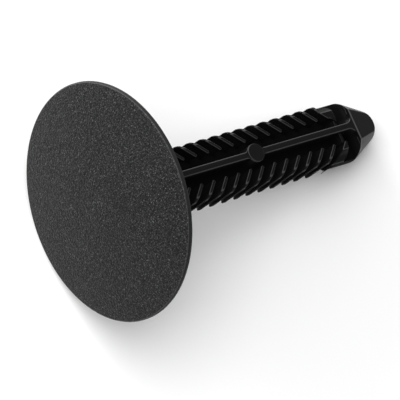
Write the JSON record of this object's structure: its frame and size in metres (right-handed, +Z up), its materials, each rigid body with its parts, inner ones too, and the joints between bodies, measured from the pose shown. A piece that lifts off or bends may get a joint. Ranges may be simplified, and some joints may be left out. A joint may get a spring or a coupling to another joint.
{
  "type": "plastic push rivet",
  "caption": "One-piece plastic push rivet with a thin domed head, a shank of swept-back fins on a web, and a chisel-shaped nose.",
  "frame": {"origin": "centre of the bounding box, on the table that the rivet lies on", "axes": "+X along the table from the head to the tip, +Y across the fins, +Z up"},
  "size_m": [0.0472, 0.03, 0.0289],
  "materials": {
    "black_plastic": "black moulded nylon, fine grain on the head, semi-gloss on the shank"
  },
  "bodies": {
    "root": {"push_rivet": "black_plastic"}
  },
  "joints": []
}
